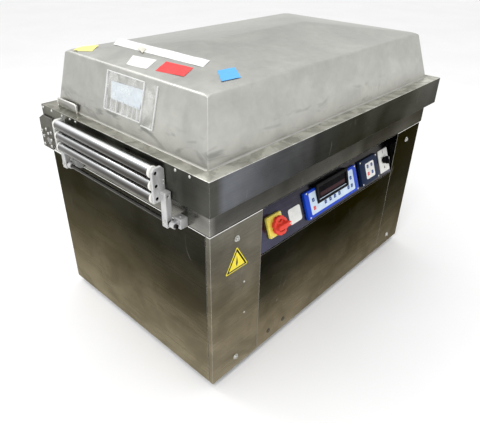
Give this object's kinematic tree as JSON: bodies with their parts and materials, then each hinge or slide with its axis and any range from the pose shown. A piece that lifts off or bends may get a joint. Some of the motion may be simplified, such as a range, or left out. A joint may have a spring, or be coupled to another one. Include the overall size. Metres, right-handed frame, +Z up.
{
  "type": "vacuum chamber sealer",
  "caption": "Floor-standing belt-fed vacuum chamber sealer: steel cabinet with a sloping console, tall hipped rear-hinged lid and a fold-up roller table at one end.",
  "frame": {"origin": "bottom centre of the bounding box, on the floor", "axes": "+Z up; -Y is the operator's side with the console; -X is the discharge end with the roller table"},
  "size_m": [1.338, 0.856, 0.98],
  "materials": {
    "frame_steel": "satin",
    "zinc": "satin",
    "panel_steel": "brushed",
    "lid_steel": "brushed",
    "polished_steel": "polished",
    "screw_steel": "satin",
    "cast_housing": "satin",
    "aluminium": "satin",
    "bracket_aluminium": "matte",
    "pump_paint": "satin",
    "box_paint": "satin",
    "belt_rubber": "matte",
    "gasket_rubber": "matte",
    "silicone": "matte",
    "blue_plastic": "gloss",
    "navy_plastic": "gloss",
    "overlay_plastic": "satin",
    "display_black": "gloss",
    "yellow_plastic": "satin",
    "red_plastic": "satin",
    "white_plastic": "satin",
    "black_plastic": "satin",
    "blue_key": "satin",
    "red_key": "satin"
  },
  "bodies": {
    "cabinet": {"base_frame": "frame_steel", "levelling_feet": "zinc", "left_end_panel": "panel_steel", "right_end_panel": "panel_steel", "rear_panel": "panel_steel", "left_post_panel": "panel_steel", "right_post_panel": "panel_steel", "service_panel": "panel_steel", "rear_deck": "panel_steel", "cabinet_fasteners": "screw_steel", "vacuum_pump": "pump_paint", "electrical_box": "box_paint", "cable_gland": "black_plastic", "control_console": "panel_steel", "control_bezel": "blue_plastic", "keypad_bezel": "navy_plastic", "key_overlays": "overlay_plastic", "display_window": "display_black", "main_switch_plate": "yellow_plastic", "selector_plate": "white_plastic", "chamber_base": "panel_steel", "conveyor_belt": "belt_rubber", "seal_jacks": "aluminium", "hinge_bearings": "cast_housing", "lift_cylinder": "aluminium", "pivot_blocks": "bracket_aluminium"},
    "lid": {"lid_shell": "lid_steel", "lid_rim": "panel_steel", "lid_gasket": "gasket_rubber", "counter_bars": "silicone", "lid_corner_cover": "lid_steel", "hinge_plates": "panel_steel", "lid_fasteners": "screw_steel", "hinge_shaft": "polished_steel"},
    "lift_piston": {"lift_rod": "polished_steel"},
    "main_switch": {"main_switch_knob": "red_plastic"},
    "selector": {"selector_knob": "black_plastic"},
    "drive": {"drive_roller": "belt_rubber"},
    "idler": {"idler_roller": "polished_steel"},
    "front_seal": {"seal_bar_front": "aluminium"},
    "rear_seal": {"seal_bar_rear": "aluminium"},
    "roller_table": {"roller_side_plates": "bracket_aluminium", "roller_arms": "bracket_aluminium", "cross_shaft": "polished_steel"},
    "table_roller_low": {"table_roller_1": "polished_steel"},
    "table_roller_mid": {"table_roller_2": "polished_steel"},
    "table_roller_top": {"table_roller_3": "polished_steel"},
    "push_key_stop": {"key_stop": "red_key"},
    "push_key_start": {"key_start": "blue_key"},
    "push_key_row_1": {"key_row_1": "blue_key"},
    "push_key_row_2": {"key_row_2": "blue_key"},
    "push_key_row_3": {"key_row_3": "blue_key"},
    "push_key_row_4": {"key_row_4": "blue_key"},
    "push_key_right_1": {"key_right_1": "blue_key"},
    "push_key_right_2": {"key_right_2": "blue_key"},
    "push_key_right_3": {"key_right_3": "blue_key"},
    "push_pad_key_1": {"pad_key_1": "blue_key"},
    "push_pad_key_2": {"pad_key_2": "blue_key"},
    "push_pad_key_3": {"pad_key_3": "red_key"},
    "push_pad_key_4": {"pad_key_4": "blue_key"}
  },
  "joints": [
    {"name": "lid_hinge", "type": "hinge", "parent": "cabinet", "child": "lid", "pos_m": [0, 0.347, 0.652], "axis": [-1, 0, 0], "range_deg": [0, 45]},
    {"name": "lift_slide", "type": "slide", "parent": "cabinet", "child": "lift_piston", "axis": [0, -1, 0], "range_m": [0, 0.0628]},
    {"name": "main_switch_turn", "type": "hinge", "parent": "cabinet", "child": "main_switch", "pos_m": [-0.299, -0.37243, 0.48702], "axis": [0, -0.9397, 0.342], "range_deg": [0, 90]},
    {"name": "selector_turn", "type": "hinge", "parent": "cabinet", "child": "selector", "pos_m": [0.388, -0.37379, 0.48326], "axis": [0, -0.9397, 0.342], "range_deg": [-45, 45]},
    {"name": "drive_spin", "type": "hinge", "parent": "cabinet", "child": "drive", "pos_m": [0.56, -0.03, 0.651], "axis": [0, 1, 0], "continuous": true},
    {"name": "idler_spin", "type": "hinge", "parent": "cabinet", "child": "idler", "pos_m": [-0.53, -0.03, 0.651], "axis": [0, 1, 0], "continuous": true},
    {"name": "front_seal_lift", "type": "slide", "parent": "cabinet", "child": "front_seal", "axis": [0, 0, 1], "range_m": [0, 0.013]},
    {"name": "rear_seal_lift", "type": "slide", "parent": "cabinet", "child": "rear_seal", "axis": [0, 0, 1], "range_m": [0, 0.013]},
    {"name": "table_fold", "type": "hinge", "parent": "cabinet", "child": "roller_table", "pos_m": [-0.636, -0.03, 0.608], "axis": [0, -1, 0], "range_deg": [0, 90]},
    {"name": "low_roller_spin", "type": "hinge", "parent": "roller_table", "child": "table_roller_low", "pos_m": [-0.654, -0.03, 0.679], "axis": [0, 1, 0], "continuous": true},
    {"name": "mid_roller_spin", "type": "hinge", "parent": "roller_table", "child": "table_roller_mid", "pos_m": [-0.654, -0.03, 0.7155], "axis": [0, 1, 0], "continuous": true},
    {"name": "top_roller_spin", "type": "hinge", "parent": "roller_table", "child": "table_roller_top", "pos_m": [-0.654, -0.03, 0.752], "axis": [0, 1, 0], "continuous": true},
    {"name": "key_stop_press", "type": "slide", "parent": "cabinet", "child": "push_key_stop", "axis": [0, 0.9397, -0.342], "range_m": [0, 0.0006], "stiffness_N_per_m": 2000},
    {"name": "key_start_press", "type": "slide", "parent": "cabinet", "child": "push_key_start", "axis": [0, 0.9397, -0.342], "range_m": [0, 0.0006], "stiffness_N_per_m": 2000},
    {"name": "key_row_1_press", "type": "slide", "parent": "cabinet", "child": "push_key_row_1", "axis": [0, 0.9397, -0.342], "range_m": [0, 0.0006], "stiffness_N_per_m": 2000},
    {"name": "key_row_2_press", "type": "slide", "parent": "cabinet", "child": "push_key_row_2", "axis": [0, 0.9397, -0.342], "range_m": [0, 0.0006], "stiffness_N_per_m": 2000},
    {"name": "key_row_3_press", "type": "slide", "parent": "cabinet", "child": "push_key_row_3", "axis": [0, 0.9397, -0.342], "range_m": [0, 0.0006], "stiffness_N_per_m": 2000},
    {"name": "key_row_4_press", "type": "slide", "parent": "cabinet", "child": "push_key_row_4", "axis": [0, 0.9397, -0.342], "range_m": [0, 0.0006], "stiffness_N_per_m": 2000},
    {"name": "key_right_1_press", "type": "slide", "parent": "cabinet", "child": "push_key_right_1", "axis": [0, 0.9397, -0.342], "range_m": [0, 0.0006], "stiffness_N_per_m": 2000},
    {"name": "key_right_2_press", "type": "slide", "parent": "cabinet", "child": "push_key_right_2", "axis": [0, 0.9397, -0.342], "range_m": [0, 0.0006], "stiffness_N_per_m": 2000},
    {"name": "key_right_3_press", "type": "slide", "parent": "cabinet", "child": "push_key_right_3", "axis": [0, 0.9397, -0.342], "range_m": [0, 0.0006], "stiffness_N_per_m": 2000},
    {"name": "pad_key_1_press", "type": "slide", "parent": "cabinet", "child": "push_pad_key_1", "axis": [0, 0.9397, -0.342], "range_m": [0, 0.0006], "stiffness_N_per_m": 2000},
    {"name": "pad_key_2_press", "type": "slide", "parent": "cabinet", "child": "push_pad_key_2", "axis": [0, 0.9397, -0.342], "range_m": [0, 0.0006], "stiffness_N_per_m": 2000},
    {"name": "pad_key_3_press", "type": "slide", "parent": "cabinet", "child": "push_pad_key_3", "axis": [0, 0.9397, -0.342], "range_m": [0, 0.0006], "stiffness_N_per_m": 2000},
    {"name": "pad_key_4_press", "type": "slide", "parent": "cabinet", "child": "push_pad_key_4", "axis": [0, 0.9397, -0.342], "range_m": [0, 0.0006], "stiffness_N_per_m": 2000}
  ],
  "couplings": [
    {"joint": "lift_slide", "follows": "lid_hinge", "m_per_rad": 0.079917},
    {"joint": "idler_spin", "follows": "drive_spin", "ratio": 1}
  ]
}
